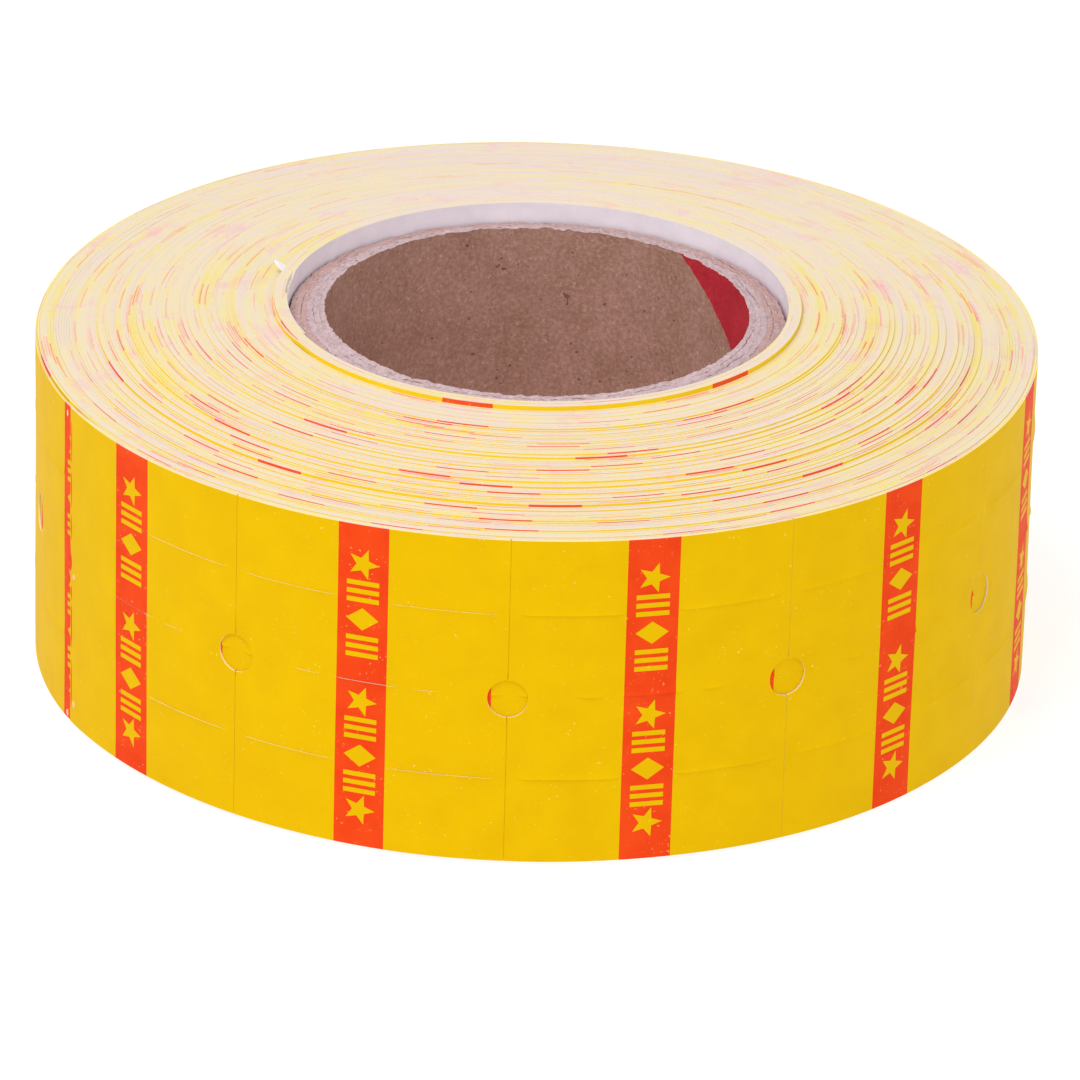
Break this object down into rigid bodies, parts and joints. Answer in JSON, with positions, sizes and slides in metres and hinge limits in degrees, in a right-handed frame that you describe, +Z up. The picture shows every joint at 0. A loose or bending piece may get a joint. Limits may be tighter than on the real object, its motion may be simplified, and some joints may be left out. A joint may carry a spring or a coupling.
{
  "type": "roll of pricing gun labels",
  "caption": "Wound roll of butt-cut price labels on a release liner, with feed holes and tear slits, on a board core; the free end unwinds and its labels peel.",
  "frame": {"origin": "on the axis of the bore, level with the lower edge of the outermost turn, on which the roll rests", "axes": "+Z up along the axis of the bore; +X and +Y across the roll, with the free end of the web at 204 degrees from +X, counter-clockwise from above"},
  "size_m": [0.0562, 0.0563, 0.0212],
  "materials": {
    "label_paper": "smooth printed",
    "release_liner": "smooth glazed",
    "kraft_paper": "rough",
    "grey_board": "rough cut"
  },
  "bodies": {
    "winding": {"liner_rim_1": "release_liner", "labels_rim_1": "label_paper", "liner_pack_1": "release_liner", "labels_pack_1": "label_paper", "liner_rim_2": "release_liner", "labels_rim_2": "label_paper", "liner_pack_2": "release_liner", "labels_pack_2": "label_paper", "liner_rim_3": "release_liner", "labels_rim_3": "label_paper", "liner_pack_3": "release_liner", "labels_pack_3": "label_paper", "liner_rim_4": "release_liner", "labels_rim_4": "label_paper", "liner_pack_4": "release_liner", "labels_pack_4": "label_paper", "liner_rim_5": "release_liner", "labels_rim_5": "label_paper", "liner_pack_5": "release_liner", "labels_pack_5": "label_paper", "liner_rim_6": "release_liner", "labels_rim_6": "label_paper", "liner_pack_6": "release_liner", "labels_pack_6": "label_paper", "liner_rim_7": "release_liner", "labels_rim_7": "label_paper", "liner_pack_7": "release_liner", "labels_pack_7": "label_paper", "liner_rim_8": "release_liner", "labels_rim_8": "label_paper", "liner_pack_8": "release_liner", "labels_pack_8": "label_paper", "liner_outer_turn": "release_liner", "label_04": "label_paper", "label_05": "label_paper", "label_06": "label_paper", "label_07": "label_paper", "label_08": "label_paper", "label_09": "label_paper", "label_10": "label_paper", "label_11": "label_paper"},
    "core": {"core_inner_kraft": "kraft_paper", "core_board_ply_1": "grey_board", "core_board_ply_2": "grey_board", "core_board_ply_3": "grey_board", "core_board_ply_4": "grey_board", "core_outer_kraft": "kraft_paper"},
    "tail_1": {"liner_tail_1": "release_liner"},
    "label_peel_1": {"label_01": "label_paper"},
    "tail_2": {"liner_tail_2": "release_liner"},
    "label_peel_2": {"label_02": "label_paper"},
    "tail_3": {"liner_tail_3": "release_liner"},
    "label_peel_3": {"label_03": "label_paper"}
  },
  "joints": [
    {"name": "core_turn", "type": "hinge", "parent": "winding", "child": "core", "pos_m": [0, 0, 0.01], "axis": [0, 0, 1], "continuous": true},
    {"name": "tail_unwind_3", "type": "hinge", "parent": "winding", "child": "tail_3", "pos_m": [0.01405, -0.02441, 0], "axis": [0, 0, 1], "range_deg": [0, 40]},
    {"name": "tail_unwind_2", "type": "hinge", "parent": "tail_3", "child": "tail_2", "pos_m": [-0.00102, -0.02816, 0], "axis": [0, 0, 1], "range_deg": [0, 40]},
    {"name": "tail_unwind_1", "type": "hinge", "parent": "tail_2", "child": "tail_1", "pos_m": [-0.01578, -0.02336, 0], "axis": [0, 0, 1], "range_deg": [0, 40]},
    {"name": "label_lift_1", "type": "hinge", "parent": "tail_1", "child": "label_peel_1", "pos_m": [-0.01578, -0.02336, 0], "axis": [0, 0, 1], "range_deg": [0, 75]},
    {"name": "label_lift_2", "type": "hinge", "parent": "tail_2", "child": "label_peel_2", "pos_m": [-0.00102, -0.02816, 0], "axis": [0, 0, 1], "range_deg": [0, 75]},
    {"name": "label_lift_3", "type": "hinge", "parent": "tail_3", "child": "label_peel_3", "pos_m": [0.01405, -0.02441, 0], "axis": [0, 0, 1], "range_deg": [0, 75]}
  ]
}
